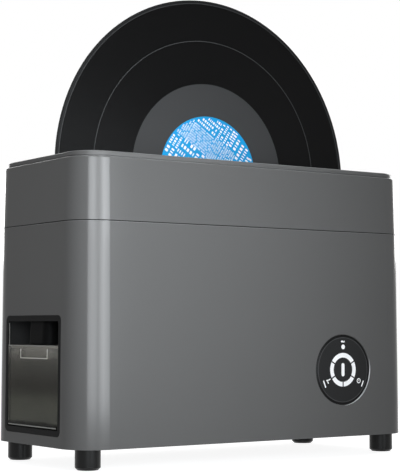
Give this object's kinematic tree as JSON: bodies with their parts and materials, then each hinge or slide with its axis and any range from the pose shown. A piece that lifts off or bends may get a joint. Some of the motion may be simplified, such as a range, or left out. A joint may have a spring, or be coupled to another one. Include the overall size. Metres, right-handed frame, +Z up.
{
  "type": "record cleaning machine",
  "caption": "Upright ultrasonic record cleaning machine with a slotted top, a round control panel and a pull-out water tank, with a record standing in its slot.",
  "frame": {"origin": "on the table under the middle of the housing", "axes": "+Z up, -Y out of the front with the control panel, +X to the right seen from the front, away from the water tank"},
  "size_m": [0.3374, 0.147, 0.391],
  "materials": {
    "housing_grey": "satin metallic grey",
    "black_plastic": "fine moulded texture",
    "foot_rubber": "satin",
    "smoked_plastic": "smoked, translucent",
    "dark_plastic": "semi-gloss",
    "fascia_black": "satin black",
    "light_white": "milky light guide",
    "vinyl": "grooved gloss",
    "label_paper": "matt print",
    "basin_plastic": "smooth",
    "silicone": "soft",
    "roller_rubber": "matt",
    "white_plastic": "smooth",
    "steel": "ground",
    "brass": "turned",
    "aluminium": "turned",
    "ceramic": "fired",
    "circuit_board": "solder mask",
    "component_black": "moulded",
    "filter_foam": "open-cell foam"
  },
  "bodies": {
    "machine": {"air_duct": "black_plastic", "axle_bushes": "brass", "base_plate": "black_plastic", "basin": "basin_plastic", "basin_gasket": "silicone", "basin_screws": "steel", "blower_housing": "black_plastic", "blower_motor": "steel", "board_components": "component_black", "board_heat_sink": "aluminium", "board_screws": "steel", "board_standoffs": "brass", "case_screws": "steel", "drain_hose": "silicone", "drain_spout": "black_plastic", "drive_motor": "steel", "dust_filter": "filter_foam", "foot_front_left": "foot_rubber", "foot_front_right": "foot_rubber", "foot_rear_left": "foot_rubber", "foot_rear_right": "foot_rubber", "gearbox": "steel", "light_ring": "light_white", "lower_housing": "housing_grey", "main_board": "circuit_board", "motor_bracket": "steel", "panel_board": "circuit_board", "panel_fascia": "fascia_black", "panel_switch": "component_black", "piezo_rings": "ceramic", "power_inlet": "black_plastic", "pump_housing": "black_plastic", "pump_inlet_hose": "silicone", "pump_motor": "steel", "rear_grille": "black_plastic", "shaft_seal": "silicone", "tank_bay": "black_plastic", "top_plate": "housing_grey", "transducer_bolts": "steel", "transducer_horns": "aluminium", "transducer_tail_masses": "steel", "upper_housing": "housing_grey"},
    "record": {"record": "vinyl", "record_labels": "label_paper"},
    "roller_left": {"roller_tyre_left": "roller_rubber", "roller_hub_left": "white_plastic", "roller_axle_left": "steel"},
    "roller_right": {"roller_tyre_right": "roller_rubber", "roller_hub_right": "white_plastic", "roller_axle_right": "steel", "roller_gear": "white_plastic"},
    "pinion": {"motor_pinion": "brass", "motor_shaft": "steel"},
    "tank": {"water_tank": "smoked_plastic", "tank_lid": "dark_plastic", "filter_basket": "dark_plastic"},
    "button": {"start_button": "fascia_black", "button_bar": "light_white"},
    "pump_rotor": {"pump_impeller": "white_plastic"},
    "blower_rotor": {"blower_impeller": "white_plastic"}
  },
  "joints": [
    {"name": "record_spin", "type": "hinge", "parent": "machine", "child": "record", "pos_m": [0, -0.0022, 0.2402], "axis": [0, 1, 0], "continuous": true},
    {"name": "roller_left_spin", "type": "hinge", "parent": "machine", "child": "roller_left", "pos_m": [-0.045, -0.0022, 0.08869], "axis": [0, 1, 0], "continuous": true},
    {"name": "roller_right_spin", "type": "hinge", "parent": "machine", "child": "roller_right", "pos_m": [0.045, -0.0022, 0.08869], "axis": [0, 1, 0], "continuous": true},
    {"name": "pinion_spin", "type": "hinge", "parent": "machine", "child": "pinion", "pos_m": [0.0666, 0.0207, 0.08869], "axis": [0, 1, 0], "continuous": true},
    {"name": "water_tank_slide", "type": "slide", "parent": "machine", "child": "tank", "axis": [-1, 0, 0], "range_m": [0, 0.095]},
    {"name": "start_button_press", "type": "slide", "parent": "machine", "child": "button", "axis": [0, 1, -0.0063], "range_m": [0, 0.0008], "stiffness_N_per_m": 800, "springref_m": -0.0006},
    {"name": "pump_impeller_spin", "type": "hinge", "parent": "machine", "child": "pump_rotor", "pos_m": [-0.035, -0.0022, 0.04379], "axis": [0, 0, 1], "continuous": true},
    {"name": "blower_impeller_spin", "type": "hinge", "parent": "machine", "child": "blower_rotor", "pos_m": [0.105, 0.03716, 0.15], "axis": [0, 1, 0], "continuous": true}
  ],
  "couplings": [
    {"joint": "roller_left_spin", "follows": "record_spin", "ratio": -21.543},
    {"joint": "roller_right_spin", "follows": "record_spin", "ratio": -21.543},
    {"joint": "pinion_spin", "follows": "record_spin", "ratio": 43.086}
  ]
}
